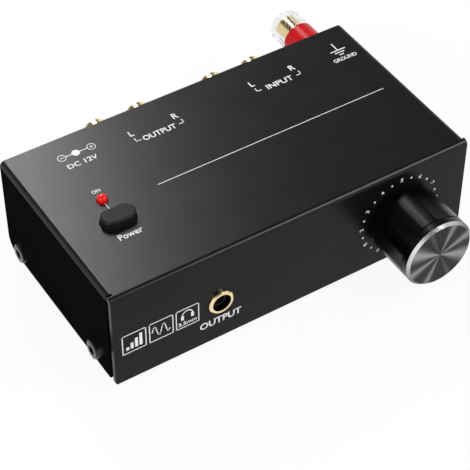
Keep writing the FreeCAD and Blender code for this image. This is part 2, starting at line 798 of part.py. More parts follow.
def make_volume_knob():
    """Turned knob with a bevelled face, a ring groove, shallow grip flats and a hollow back."""
    knob = new_body("volume_knob", *knob_point(0), FreeCAD.Rotation(AXES["Y"], S.knob_turn.number))
    bind(knob, "Placement.Rotation.Angle", S.knob_turn)
    front = -S.knob_reach
    rear = -S.knob_gap
    groove_front = front + S.knob_band
    groove_rear = groove_front + S.knob_groove_width
    groove_radius = S.knob_radius - S.knob_groove_depth
    bore = S.shaft_radius + S.running_gap
    hollow = rear - S.knob_hollow_depth
    bore_end = rear - S.knob_shaft_depth
    revolve(knob, "turned_form", [
        (0, front), (S.knob_radius - S.knob_edge, front), (S.knob_radius, front + S.knob_edge),
        (S.knob_radius, groove_front), (groove_radius, groove_front), (groove_radius, groove_rear),
        (S.knob_radius, groove_rear), (S.knob_radius, rear - S.knob_groove_width),
        (S.knob_radius - S.knob_groove_width, rear), (S.knob_hollow_radius, rear),
        (S.knob_hollow_radius, hollow), (bore, hollow), (bore, bore_end), (0, bore_end),
    ])
    flat = new_sketch(knob, "XZ_Plane", "grip_outline", groove_front)
    level = S.knob_radius - S.knob_flat_depth
    draw_box(flat, -S.knob_radius / 2, S.knob_radius / 2, level, S.knob_radius + 1)
    grip = extrude("Pocket", knob, "grip_flat", flat, rear - S.knob_tail - groove_front)
    repeat_round(knob, "grip_flats", [grip], S.knob_flats)
    hole = new_sketch(knob, "XY_Plane", "grub_outline", -S.knob_radius)
    draw_circle(hole, 0, -S.grub_depth, S.grub_radius + S.thread_gap)
    extrude("Pocket", knob, "grub_hole", hole, S.knob_radius)
    return keep("volume_knob", knob)


def make_knob_grub_screw():
    """Headless screw that clamps the knob on its shaft from below."""
    grub = new_body("knob_grub_screw", *knob_point(0), FreeCAD.Rotation(AXES["Y"], S.knob_turn.number))
    bind(grub, "Placement.Rotation.Angle", S.knob_turn)
    low = -S.shaft_radius - S.running_gap - S.grub_length
    outline = new_sketch(grub, "XY_Plane", "grub_outline", low)
    draw_circle(outline, 0, -S.grub_depth, S.grub_radius)
    extrude("Pad", grub, "threaded_rod", outline, S.grub_length)
    socket = new_sketch(grub, "XY_Plane", "hex_outline", low)
    radius = S.grub_socket_flats / math.sqrt(3)
    draw_outline(socket, [
        (radius * math.cos(math.radians(angle)), radius * math.sin(math.radians(angle)) - S.grub_depth)
        for angle in range(0, 360, 60)
    ])
    extrude("Pocket", grub, "hex_socket", socket, S.grub_length / 2)
    return keep("knob_grub_screw", grub)


# Power button, switch and lamp

BUTTON_TOP = S.case_height + S.button_rise
BUTTON_LOW = BUTTON_TOP - S.button_body
SWITCH_TOP = BOARD_TOP + S.switch_height
PLUNGER_TOP = BUTTON_LOW + S.plunger_grip
PLUNGER_LOW = BOARD_TOP + S.switch_floor + S.button_travel + S.button_gap


def make_power_button():
    """Round-ended cap with a retaining flange under the cover and a socket for the plunger."""
    cap = new_body("power_button", BUTTON_X, S.button_y)
    outline = new_sketch(cap, "XY_Plane", "cap_outline", BUTTON_LOW)
    draw_slot(outline, 0, 0, S.button_length, S.button_width)
    extrude("Pad", cap, "cap", outline, S.button_body)
    end = S.button_length / 2
    half = S.button_width / 2
    soften("Chamfer", cap, "cap_edge", S.button_edge, [
        (end, 0, BUTTON_TOP), (-end, 0, BUTTON_TOP), (0, half, BUTTON_TOP), (0, -half, BUTTON_TOP),
    ])
    flange = new_sketch(cap, "XY_Plane", "flange_outline",
                        CEILING - S.button_gap - S.button_flange_height)
    draw_slot(flange, 0, 0, S.button_length + 2 * S.button_flange, S.button_width + 2 * S.button_flange)
    extrude("Pad", cap, "flange", flange, S.button_flange_height)
    socket = new_sketch(cap, "XY_Plane", "socket_outline", BUTTON_LOW)
    wide = S.plunger_width / 2 + S.thread_gap
    draw_box(socket, -wide, wide, -wide, wide)
    extrude("Pocket", cap, "plunger_socket", socket, S.plunger_grip)
    return keep("power_button", cap)


def make_power_switch():
    """Housing of the push switch and the plunger that slides in it."""
    half = S.switch_width / 2
    wide = S.plunger_width / 2
    well = wide + S.button_gap
    housing = cut(
        "switch_body",
        block("switch_block", (BUTTON_X - half, BUTTON_X + half), (S.button_y - half, S.button_y + half),
              (BOARD_TOP, SWITCH_TOP)),
        block("switch_well", (BUTTON_X - well, BUTTON_X + well), (S.button_y - well, S.button_y + well),
              (BOARD_TOP + S.switch_floor, SWITCH_TOP)),
    )
    keep("switch_housing", housing)
    plunger = block("plunger_bar", (BUTTON_X - wide, BUTTON_X + wide),
                    (S.button_y - wide, S.button_y + wide), (PLUNGER_LOW, PLUNGER_TOP))
    keep("switch_plunger", plunger)


LED_TOP = S.case_height + S.led_rise
LED_BASE = LED_TOP - S.led_radius - S.led_body


def make_power_led():
    """Domed lamp with its flange, its two leads and the tube that holds it up."""
    led = new_body("power_led", BUTTON_X, S.led_y)
    sketch = new_sketch(led, "XY_Plane", "flange_outline", LED_BASE)
    draw_circle(sketch, 0, 0, S.led_flange_radius)
    extrude("Pad", led, "flange", sketch, S.led_flange_height)
    lens = new_sketch(led, "XY_Plane", "lens_outline", LED_BASE)
    draw_circle(lens, 0, 0, S.led_radius)
    extrude("Pad", led, "lens", lens, S.led_radius + S.led_body)
    soften("Fillet", led, "dome", S.led_radius * 0.98, [(0, S.led_radius, LED_TOP)])
    keep("power_led", led)
    half = S.lead_width / 2
    leads = []
    for number, x in enumerate((BUTTON_X - S.led_pitch / 2, BUTTON_X + S.led_pitch / 2)):
        leads.append(block(f"led_lead_{number}", (x - half, x + half), (S.led_y - half, S.led_y + half),
                           (BOARD_TOP, LED_BASE)))
    keep("led_leads", group("led_lead_group", *leads))
    spacer = tube("led_tube", "Z", S.spacer_radius, S.led_pitch / 2 + S.lead_width,
                  (BUTTON_X, S.led_y, BOARD_TOP), LED_BASE - BOARD_TOP)
    keep("led_spacer", spacer)


# Headphone output


def make_output_jack():
    """Housing with its bore, gilded ring in the front panel and contact strips."""
    ring = new_body("jack_ring", JACK_X, 0, S.jack_z)
    rise = -S.jack_ring_rise
    throat = S.sheet_thickness / 2
    revolve(ring, "turned_ring", [
        (S.jack_mouth_radius, rise), (S.jack_ring_radius, rise), (S.jack_ring_radius, 0),
        (S.jack_neck_radius, 0), (S.jack_neck_radius, S.sheet_thickness),
        (S.jack_throat_radius, S.sheet_thickness), (S.jack_throat_radius, throat),
    ])
    soften("Chamfer", ring, "ring_edge", S.jack_ring_rise / 3, [(0, rise, S.jack_ring_radius)])
    keep("jack_ring", ring)
    half = S.jack_width / 2
    rear = S.sheet_thickness + S.jack_depth
    nose_front = throat + S.hole_gap
    solid = fuse(
        "jack_solid",
        block("jack_block", (JACK_X - half, JACK_X + half), (S.sheet_thickness, rear),
              (BOARD_TOP, BOARD_TOP + S.jack_height)),
        rod("jack_nose", "Y", S.jack_throat_radius - S.thread_gap, (JACK_X, nose_front, S.jack_z),
            S.sheet_thickness - nose_front + 1),
    )
    bore = rod("jack_bore", "Y", S.jack_bore_radius, (JACK_X, nose_front, S.jack_z), S.jack_bore_depth)
    keep("jack_housing", cut("jack_body", solid, bore))
    strips = []
    for side_sign in (-1, 1):
        inner = JACK_X + side_sign * half
        outer = inner + side_sign * S.lead_width
        low, high = (outer, inner) if side_sign < 0 else (inner, outer)
        for number, depth in enumerate((S.jack_depth * 0.3, S.jack_depth * 0.8)):
            strips.append(block(f"jack_strip_{side_sign + 1}_{number}", (low, high), (depth, depth + 2),
                                (BOARD_TOP, BOARD_TOP + S.jack_height / 2)))
    keep("jack_contacts", group("jack_strip_group", *strips))


# Phono sockets


def make_socket_blocks():
    """Two moulded blocks, each with two round collars that pass through the rear wall."""
    half = S.block_width / 2
    for name, middle in SOCKET_MIDDLES.items():
        solids = [block(f"{name}_block_box", (middle - half, middle + half),
                        (REAR_INSIDE - S.block_depth, REAR_INSIDE), (BOARD_TOP, BOARD_TOP + S.block_height))]
        bores = []
        for side, offset in SOCKET_SIDES.items():
            point = (middle + offset, REAR_INSIDE - 1, S.socket_z)
            solids.append(rod(f"{name}_{side}_collar", "Y", S.collar_radius, point,
                              S.sheet_thickness + S.collar_reach + 1))
            start = (middle + offset, REAR_INSIDE - S.barrel_tail, S.socket_z)
            bores.append(rod(f"{name}_{side}_bore", "Y", S.barrel_radius - S.barrel_step + S.thread_gap, start,
                             S.barrel_tail + S.sheet_thickness + S.collar_reach))
        screw_start = (middle, REAR_INSIDE - S.block_screw_length, S.socket_z + S.block_screw_rise)
        bores.append(rod(f"{name}_screw_bore", "Y", S.screw_radius + S.thread_gap, screw_start,
                         S.block_screw_length))
        solid = fuse(f"{name}_block_solid", *solids)
        keep(f"{name}_socket_block", cut(f"{name}_block", solid, *bores))


def make_socket_metal():
    """Gilded barrels, coloured insulators and centre contacts of the four sockets."""
    barrel_end = S.case_depth + S.barrel_reach
    barrel_start = REAR_INSIDE - S.barrel_tail
    inner = S.barrel_radius - S.barrel_wall
    tail = S.barrel_radius - S.barrel_step
    step = REAR_FACE + S.collar_reach + S.barrel_step
    barrels = []
    insulators = {"left": [], "right": []}
    contacts = []
    for name, middle in SOCKET_MIDDLES.items():
        for side, offset in SOCKET_SIDES.items():
            x = middle + offset
            label = f"{name}_{side}"
            barrel = new_body(f"{label}_barrel", x, 0, S.socket_z)
            lip = S.barrel_wall / 2
            revolve(barrel, "turned_barrel", [
                (inner, barrel_start), (tail, barrel_start), (tail, step), (S.barrel_radius, step),
                (S.barrel_radius, barrel_end - lip),
                (S.barrel_radius - lip, barrel_end), (inner, barrel_end),
            ])
            barrels.append(barrel)
            insulators[side].append(tube(
                f"{label}_insulator", "Y", inner - S.thread_gap, S.contact_radius + S.thread_gap,
                (x, barrel_start, S.socket_z), barrel_end - S.insulator_setback - barrel_start,
            ))
            contact_front = barrel_end - S.contact_setback
            contacts.append(tube(
                f"{label}_contact", "Y", S.contact_radius, S.contact_bore,
                (x, contact_front - S.contact_length, S.socket_z), S.contact_length,
            ))
    keep("socket_barrels", group("barrel_group", *barrels))
    keep("left_socket_insulators", group("left_insulator_group", *insulators["left"]))
    keep("right_socket_insulators", group("right_insulator_group", *insulators["right"]))
    keep("socket_center_contacts", group("contact_group", *contacts))


def make_block_screws():
    """Two screws that clamp the socket blocks to the rear wall."""
    outward = FreeCAD.Rotation(AXES["Z"], AXES["Y"])
    screws = new_body("socket_block_screws", S.output_middle, REAR_FACE, S.socket_z + S.block_screw_rise,
                      outward)
    pan_head_screw(screws, S.block_screw_length)
    repeat_on_grid(screws, "two_screws", [("X", S.input_middle - S.output_middle)])
    return keep("socket_block_screws", screws)


# Power inlet


def make_power_inlet():
    """Housing with the plug bore, and the centre pin."""
    half = S.inlet_width / 2
    level = BOARD_TOP + S.inlet_rise
    floor = REAR_INSIDE - S.inlet_bore_depth
    pin_rear = REAR_INSIDE - S.inlet_depth + S.sheet_thickness
    root = S.inlet_pin_radius + S.inlet_pin_step
    step = floor + S.inlet_pin_step
    housing = cut(
        "inlet_body",
        block("inlet_block", (INLET_X - half, INLET_X + half),
              (REAR_INSIDE - S.inlet_depth, REAR_INSIDE), (BOARD_TOP, BOARD_TOP + S.inlet_height)),
        rod("inlet_bore", "Y", S.inlet_bore_radius, (INLET_X, floor, level), S.inlet_bore_depth),
        rod("inlet_pin_seat", "Y", root + S.thread_gap, (INLET_X, pin_rear, level),
            S.inlet_depth - S.sheet_thickness),
    )
    keep("power_inlet_housing", housing)
    pin = new_body("power_inlet_pin", INLET_X, 0, level)
    tip = REAR_INSIDE - S.inlet_pin_setback
    nose = S.inlet_pin_radius / 2
    revolve(pin, "turned_pin", [
        (0, pin_rear), (root, pin_rear), (root, step), (S.inlet_pin_radius, step),
        (S.inlet_pin_radius, tip - nose),
        (S.inlet_pin_radius - nose, tip), (0, tip),
    ])
    keep("power_inlet_pin", pin)


# Ground terminal

COLLAR_END = REAR_FACE + S.post_collar_length
CLAMP_END = COLLAR_END + S.clamp_height
NUT_FRONT = CLAMP_END + S.post_gap
RED_END = NUT_FRONT + S.red_length
POST_END = S.case_depth + S.post_reach
STUD_BORE = S.stud_radius + S.post_gap
CORE_BORE = S.core_radius + S.post_gap


def post_point(y):
    """A point on the axis of the ground terminal."""
    return (POST_X, y, POST_Z)


def make_ground_post():
    """Fixed pieces of the terminal: collar, bush, stud, lock nut, lug and wire."""
    collar = new_body("ground_post_collar", *post_point(0))
    revolve(collar, "moulded_collar", [
        (STUD_BORE, REAR_INSIDE), (S.post_shoulder_radius, REAR_INSIDE), (S.post_shoulder_radius, REAR_FACE),
        (S.post_radius, REAR_FACE), (S.post_radius, COLLAR_END), (STUD_BORE, COLLAR_END),
    ])
    keep("ground_post_collar", collar)
    bush_front = REAR_INSIDE - S.bush_height
    keep("ground_post_bush", tube("bush", "Y", S.bush_radius, STUD_BORE, post_point(bush_front), S.bush_height))
    lug_front = bush_front - S.lug_thickness
    tail_low = POST_Z - S.lug_radius - S.lug_tail
    lug = cut(
        "lug", fuse(
            "lug_solid", rod("lug_eye", "Y", S.lug_radius, post_point(lug_front), S.lug_thickness),
            block("lug_tail_strip", (POST_X - S.lug_radius / 2, POST_X + S.lug_radius / 2),
                  (lug_front, bush_front), (tail_low, POST_Z)),
        ),
        rod("lug_hole", "Y", STUD_BORE, post_point(lug_front), S.lug_thickness),
    )
    keep("ground_lug", lug)
    wire_y = lug_front + S.lug_thickness / 2
    wire = rod("wire_run", "Z", S.wire_radius, (POST_X, wire_y, BOARD_TOP), tail_low - BOARD_TOP)
    keep("ground_wire", wire)
    nut_front = lug_front - S.lock_nut_height
    nut = cut(
        "lock_nut", hex_rod("lock_nut_hex", "Y", S.lock_nut_flats, post_point(nut_front), S.lock_nut_height),
        rod("lock_nut_bore", "Y", STUD_BORE, post_point(nut_front), S.lock_nut_height),
    )
    keep("ground_lock_nut", nut)
    stud_front = REAR_INSIDE - S.stud_tail
    stud = rod("stud", "Y", S.stud_radius, post_point(stud_front), POST_END - S.stud_setback - stud_front)
    keep("ground_post_stud", stud)


def make_ground_nut():
    """Moving pieces of the terminal: clamp washer and the thumb nut's core, ring and clear shell."""
    keep("ground_clamp_washer", tube("clamp_washer", "Y", S.clamp_radius, STUD_BORE, post_point(COLLAR_END),
                                     S.clamp_height))
    core = new_body("thumb_nut_core", *post_point(0))
    core_end = POST_END - S.core_setback
    bevel = S.shell_edge / 2
    revolve(core, "turned_core", [
        (STUD_BORE, NUT_FRONT), (S.core_radius, NUT_FRONT), (S.core_radius, core_end - bevel),
        (S.core_radius - bevel, core_end), (STUD_BORE, core_end),
    ])
    keep("thumb_nut_core", core)
    keep("thumb_nut_ring", tube("red_ring", "Y", S.post_radius, CORE_BORE, post_point(NUT_FRONT),
                                S.red_length))
    shell = new_body("thumb_nut_shell", *post_point(0))
    outline = new_sketch(shell, "XZ_Plane", "shell_outline", RED_END)
    step = 2 * math.pi / SIZES["shell_sides"]
    draw_outline(outline, [
        (S.post_radius * math.cos(index * step), S.post_radius * math.sin(index * step))
        for index in range(SIZES["shell_sides"])
    ])
    extrude("Pad", shell, "clear_shell", outline, POST_END - RED_END)
    bore = new_sketch(shell, "XZ_Plane", "core_bore_outline", RED_END)
    draw_circle(bore, 0, 0, CORE_BORE)
    extrude("Pocket", shell, "core_bore", bore, core_end + S.post_gap - RED_END)
    mouth = new_sketch(shell, "XZ_Plane", "mouth_outline", RED_END)
    draw_circle(mouth, 0, 0, S.shell_mouth_radius)
    extrude("Pocket", shell, "shell_mouth", mouth, POST_END - RED_END)
    middles = [
        (S.post_radius * math.cos(step / 2) * math.cos((index + 0.5) * step), POST_END,
         S.post_radius * math.cos(step / 2) * math.sin((index + 0.5) * step))
        for index in range(SIZES["shell_sides"])
    ]
    soften("Chamfer", shell, "shell_edge", S.shell_edge, middles)
    keep("thumb_nut_shell", shell)


# Parts on the board


def make_chips():
    """Two dual in-line amplifiers with eight legs each."""
    bodies = []
    legs = []
    half_length = S.chip_length / 2
    half_width = S.chip_width / 2
    half_leg = S.lead_width / 2
    low = BOARD_TOP + S.chip_rise
    for number, x in enumerate((S.chip_x, S.chip_x + S.chip_spacing)):
        bodies.append(block(f"chip_{number}", (x - half_length, x + half_length),
                            (CHIP_ROW - half_width, CHIP_ROW + half_width), (low, low + S.chip_height)))
        for position in range(4):
            middle = x + (position - 1.5) * S.chip_pitch
            for side, near in (("front", CHIP_ROW - half_width - S.lead_width), ("rear", CHIP_ROW + half_width)):
                legs.append(block(f"leg_{number}_{position}_{side}", (middle - half_leg, middle + half_leg),
                                  (near, near + S.lead_width), (BOARD_TOP, low + S.chip_height / 2)))
    keep("amplifier_chips", group("chip_group", *bodies))
    keep("chip_legs", group("leg_group", *legs))


def make_capacitors():
    """Aluminium cans in two sizes and a row of moulded film capacitors."""
    front_x = JACK_X + S.jack_width / 2 + S.small_can_gap + S.small_can_radius
    small = [
        rod(f"small_can_{number}", "Z", S.small_can_radius, (x, y, BOARD_TOP), S.small_can_height)
        for number, (x, y) in enumerate((
            (front_x, S.front_row_y), (front_x + S.small_can_pitch, S.front_row_y),
            (S.rear_can_x, REAR_ROW), (S.rear_can_x + S.small_can_pitch, REAR_ROW),
        ))
    ]
    keep("small_capacitors", group("small_can_group", *small))
    large = [
        rod(f"large_can_{number}", "Z", S.large_can_radius,
            (S.large_can_x + number * S.large_can_pitch, REAR_ROW + S.large_can_shift, BOARD_TOP),
            S.large_can_height)
        for number in range(2)
    ]
    keep("large_capacitors", group("large_can_group", *large))
    films = []
    half = S.film_length / 2
    for number in range(4):
        x = S.chip_x + number * S.film_pitch
        films.append(block(f"film_{number}", (x, x + S.film_width), (REAR_ROW - half, REAR_ROW + half),
                           (BOARD_TOP, BOARD_TOP + S.film_height)))
    keep("film_capacitors", group("film_group", *films))


def make_resistors():
    """A row of axial resistors lying on the board."""
    resistors = []
    level = BOARD_TOP + S.resistor_radius + S.hole_gap
    half = S.lead_width / 2
    x = S.resistor_x
    end = x + S.resistor_length
    for number in range(6):
        y = CHIP_ROW + (number - 2.5) * S.resistor_pitch
        resistors.append(fuse(
            f"resistor_{number}",
            rod(f"resistor_rod_{number}", "X", S.resistor_radius, (x, y, level), S.resistor_length),
            block(f"resistor_lead_a_{number}", (x - S.lead_width, x), (y - half, y + half),
                  (BOARD_TOP, level + half)),
            block(f"resistor_lead_b_{number}", (end, end + S.lead_width), (y - half, y + half),
                  (BOARD_TOP, level + half)),
        ))
    keep("resistors", group("resistor_group", *resistors))


def make_regulator():
    """Voltage regulator with its metal tab and three legs."""
    x = S.regulator_x
    y = CHIP_ROW + S.regulator_shift
    half = S.regulator_width / 2
    low = BOARD_TOP + S.regulator_rise
    high = low + S.regulator_height
    keep("regulator_body", block("regulator_moulding", (x - half, x + half), (y, y + S.regulator_thickness),
                                 (low, high)))
    back = y + S.regulator_thickness
    tab = cut(
        "regulator_plate",
        block("regulator_plate_block", (x - half, x + half), (back, back + S.tab_thickness),
              (low, high + S.tab_rise)),
        rod("regulator_hole", "Y", S.screw_radius + S.hole_gap, (x, back, high + S.tab_rise / 2),
            S.tab_thickness),
    )
    keep("regulator_tab", tab)
    legs = []
    middle = y + S.regulator_thickness / 2
    for number in (-1, 0, 1):
        leg = x + number * S.chip_pitch
        legs.append(block(f"regulator_leg_{number + 1}", (leg - S.lead_width / 2, leg + S.lead_width / 2),
                          (middle, middle + S.lead_width), (BOARD_TOP, low)))
    keep("regulator_legs", group("regulator_leg_group", *legs))


def check_document():
    """Stops if any object failed or any sub-part has no sound shape."""
    failed = [item.Label for item in doc.Objects if "Invalid" in item.State or "Error" in item.State]
    if failed:
        raise RuntimeError(f"These objects failed: {failed}")
    for part in SUB_PARTS:
        if part.Shape.isNull() or not part.Shape.isValid() or not part.Shape.Solids:
            raise RuntimeError(f"{part.Label} has no sound solid")


make_top_cover()
make_base_tray()
make_side_screws()
make_rubber_feet()
make_board_standoffs()
make_board_screws()
make_circuit_board()
make_potentiometer()
make_potentiometer_shaft()
make_volume_knob()
make_knob_grub_screw()
make_power_button()
make_power_switch()
make_power_led()
make_output_jack()
make_socket_blocks()
make_socket_metal()
make_block_screws()
make_power_inlet()
make_ground_post()
make_ground_nut()
make_chips()
make_capacitors()
make_resistors()
make_regulator()

doc.recompute()
check_document()
os.makedirs("parts", exist_ok=True)
for part in SUB_PARTS:
    part.Shape.exportStep(f"parts/{part.Label}.step")
    print(part.Label, len(part.Shape.Solids), round(part.Shape.Volume, 1))
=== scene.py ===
import math

import bmesh
import bpy
from mathutils import Matrix, Vector


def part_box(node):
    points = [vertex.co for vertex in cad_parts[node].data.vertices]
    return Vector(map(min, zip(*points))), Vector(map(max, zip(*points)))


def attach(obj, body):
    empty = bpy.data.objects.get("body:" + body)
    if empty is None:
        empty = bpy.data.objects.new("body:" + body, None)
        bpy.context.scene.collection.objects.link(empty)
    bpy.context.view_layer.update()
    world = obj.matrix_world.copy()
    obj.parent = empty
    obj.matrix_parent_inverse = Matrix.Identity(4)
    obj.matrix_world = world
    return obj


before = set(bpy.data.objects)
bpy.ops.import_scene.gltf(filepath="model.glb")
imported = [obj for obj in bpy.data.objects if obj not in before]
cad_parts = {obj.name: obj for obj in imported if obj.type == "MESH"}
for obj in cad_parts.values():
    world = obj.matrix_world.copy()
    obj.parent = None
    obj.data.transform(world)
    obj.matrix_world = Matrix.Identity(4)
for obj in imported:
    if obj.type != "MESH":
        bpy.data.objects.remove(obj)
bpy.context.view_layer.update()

MM = 0.001

# The body that every printed marking rides, and places taken from the frame, in metres.
CASE_BODY = "preamp_case"
COVER_LOW, COVER_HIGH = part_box("top_cover")
FRONT_Y = COVER_LOW.y
SKIRT_Z = COVER_LOW.z
TOP_Z = COVER_HIGH.z
KNOB_FACE_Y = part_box("volume_knob")[0].y
SHAFT_LOW, SHAFT_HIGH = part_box("potentiometer_shaft")
KNOB_AXIS = (SHAFT_LOW + SHAFT_HIGH) / 2

# Camera, found from the edges of the case in the photograph. Its places are in metres, its lens and sensor in
# millimetres.
CAMERA_PLACE = Vector((-0.18348, -0.29016, 0.34772))
CAMERA_TARGET = Vector((-0.0084, -0.01316, 0.01769))
CAMERA_LENS = 133.7
SENSOR_WIDTH = 36.0
NEAR_LIMIT = 0.01
FAR_LIMIT = 20.0

# Case paint. One gloss fades into another between two distances inward from the cover's outside.
PAINT_COLOUR = (0.0045, 0.0045, 0.0048)
TOP_GLOSS = 0.27
FRONT_GLOSS = 0.11
SIDE_FADE = (2.4 * MM, 1.9 * MM)
TOP_FADE = (1.6 * MM, 0.6 * MM)
FRONT_DEPTH = 1.2 * MM

# Knob: how far its face and its bevel reach back from the front, and the spacing of its turned rings.
FACE_DEPTH = 0.02 * MM
BEVEL_DEPTH = 0.79 * MM
RING_SPACING = 0.16 * MM
# Painted highlight: the bevel gets lighter along this direction across and up, between two distances from the
# axis.
PAINTED_BEVEL_LIGHT = (-0.55, 0.83)
BEVEL_STRETCH = (-1 * MM, 9.5 * MM)
# Rays of painted sheen on the knob's spun face: angle in degrees, sharpness and strength.
PAINTED_SHEEN_RAYS = ((156, 9, 0.7), (66, 40, 0.5), (20, 22, 0.55), (112, 60, 0.14))

# Headphone output: radii between which the black painted as shade in its bore turns into the gold of its rim.
RIM_START = 2.62 * MM
RIM_END = 2.86 * MM

# Power lamp: depth of its bright crown, and how strongly it glows.
CROWN_DEPTH = 2.2 * MM
LAMP_GLOW = 0.22

# Floor: reach in metres, grey, and the share of plain white that the camera and reflections see in it.
FLOOR_REACH = 4.0
FLOOR_GREY = 0.86
FLOOR_WHITE = 0.92

# Ceiling: upward slopes of view at which it starts and is complete, and its strength.
CEILING_START = 0.3
CEILING_END = 0.56
CEILING_STRENGTH = 0.14

# Point that the lamps face, in metres.
LIGHT_TARGET = Vector((0.0, 0.0, 0.02))


# Materials


class Nodes:
    """A node tree with short ways to add and link nodes."""

    def __init__(self, tree):
        self.tree = tree

    def add(self, kind, **settings):
        """Adds a node with its settings."""
        node = self.tree.nodes.new(kind)
        for key, value in settings.items():
            setattr(node, key, value)
        return node

    def link(self, source, target):
        """Links an output to an input, or sets the input to a plain value."""
        if isinstance(source, bpy.types.NodeSocket):
            self.tree.links.new(source, target)
        else:
            target.default_value = source

    def math(self, operation, first, second=0.0):
        """A math node's output."""
        node = self.add("ShaderNodeMath", operation=operation)
        self.link(first, node.inputs[0])
        self.link(second, node.inputs[1])
        return node.outputs[0]

    def plus(self, first, second):
        """The sum of two values."""
        return self.math("ADD", first, second)

    def minus(self, first, second):
        """The difference of two values."""
        return self.math("SUBTRACT", first, second)

    def times(self, first, second):
        """The product of two values."""
        return self.math("MULTIPLY", first, second)

    def split(self, vector):
        """The X, Y and Z outputs of a vector."""
        node = self.add("ShaderNodeSeparateXYZ")
        self.link(vector, node.inputs[0])
        return node.outputs

    def spread(self, source, low, high, start=0.3, end=0.7):
        """Spreads a value between two limits."""
        node = self.add("ShaderNodeMapRange")
        self.link(source, node.inputs["Value"])
        node.inputs["From Min"].default_value = start
        node.inputs["From Max"].default_value = end
        node.inputs["To Min"].default_value = low
        node.inputs["To Max"].default_value = high
        return node.outputs["Result"]

    def blend(self, factor, first, second):
        """A colour between two colours."""
        node = self.add("ShaderNodeMix", data_type="RGBA")
        self.link(factor, node.inputs["Factor"])
        for socket, value in ((node.inputs[6], first), (node.inputs[7], second)):
            self.link((*value, 1.0) if isinstance(value, tuple) else value, socket)
        return node.outputs[2]


class Shader(Nodes):
    """A new material with one surface, whose detail follows the object's own space."""

    def __init__(self, name):
        self.name = name
        self.material = bpy.data.materials.new(name)
        self.material.use_nodes = True
        super().__init__(self.material.node_tree)
        self.surface = self.tree.nodes["Principled BSDF"]
        self.place = self.add("ShaderNodeTexCoord").outputs["Object"]

    def put(self, **sources):
        """Gives inputs of the surface an output or a plain value, with _ for a space in their names."""
        for name, source in sources.items():
            self.link(source, self.surface.inputs[name.replace("_", " ")])

    def noise(self, scale, detail=2.0, stretch=(1, 1, 1)):
        """Noise with its scale in waves per metre."""
        mapping = self.add("ShaderNodeMapping")
        self.link(self.place, mapping.inputs["Vector"])
        mapping.inputs["Scale"].default_value = stretch
        node = self.add("ShaderNodeTexNoise")
        self.link(mapping.outputs["Vector"], node.inputs["Vector"])
        node.inputs["Scale"].default_value = scale
        node.inputs["Detail"].default_value = detail
        return node.outputs["Fac"]

    def around(self, axis):
        """Places across and up from an axis that runs front to back, and the distance from it."""
        place = self.split(self.place)
        across = self.minus(place["X"], axis.x)
        height = self.minus(place["Z"], axis.z)
        radius = self.math("SQRT", self.plus(self.times(across, across), self.times(height, height)))
        return across, height, radius

    def bump(self, height, depth):
        """Bumps the surface by a height map of a given depth in metres."""
        node = self.add("ShaderNodeBump")
        node.inputs["Distance"].default_value = depth
        self.link(height, node.inputs["Height"])
        self.put(Normal=node.outputs["Normal"])


def shade(colour, amount):
    """A colour made lighter or darker by an amount."""
    return tuple(min(1.0, channel * amount) for channel in colour)


def finish_shader(name, colour, roughness, mottle=0.12, mottle_scale=90.0, grain_scale=1500.0,
                  grain_depth=0.004 * MM, rough_spread=0.06, stretch=(1, 1, 1), **inputs):
    """A moulded, painted or plated finish: soft mottling, fine grain and uneven gloss."""
    shader = Shader(name)
    soft = shader.noise(mottle_scale, 3.0)
    fine = shader.noise(grain_scale, 2.0, stretch)
    mottled = shader.blend(shader.spread(soft, 0.0, 1.0),
                           shade(colour, 1 - mottle), shade(colour, 1 + mottle))
    half = rough_spread / 2
    uneven = shader.plus(shader.spread(soft, -half, half),
                         shader.spread(fine, roughness - half, roughness + half))
    shader.put(Base_Color=mottled, Roughness=uneven, **inputs)
    shader.bump(fine, grain_depth)
    return shader


def case_shader():
    """Satin black paint of the cover, with most gloss on its top, less on its front and none on its sides."""
    shader = finish_shader("case_paint", PAINT_COLOUR, 0.3, mottle=0.1, grain_scale=5200.0,
                           grain_depth=0.0028 * MM, rough_spread=0.025)
    place = shader.split(shader.place)
    out = shader.math("ABSOLUTE", place["X"])
    outside = shader.spread(out, 0.0, 1.0, COVER_HIGH.x - SIDE_FADE[0], COVER_HIGH.x - SIDE_FADE[1])
    above = shader.spread(place["Z"], 0.0, 1.0, TOP_Z - TOP_FADE[0], TOP_Z - TOP_FADE[1])
    behind = shader.math("GREATER_THAN", place["Y"], FRONT_Y + FRONT_DEPTH)
    wall_gloss = shader.spread(shader.times(outside, behind), FRONT_GLOSS, 0.0, 0.0, 1.0)
    gloss = shader.plus(shader.times(shader.minus(1.0, above), wall_gloss), shader.times(above, TOP_GLOSS))
    shader.put(Specular_IOR_Level=gloss)
    return shader


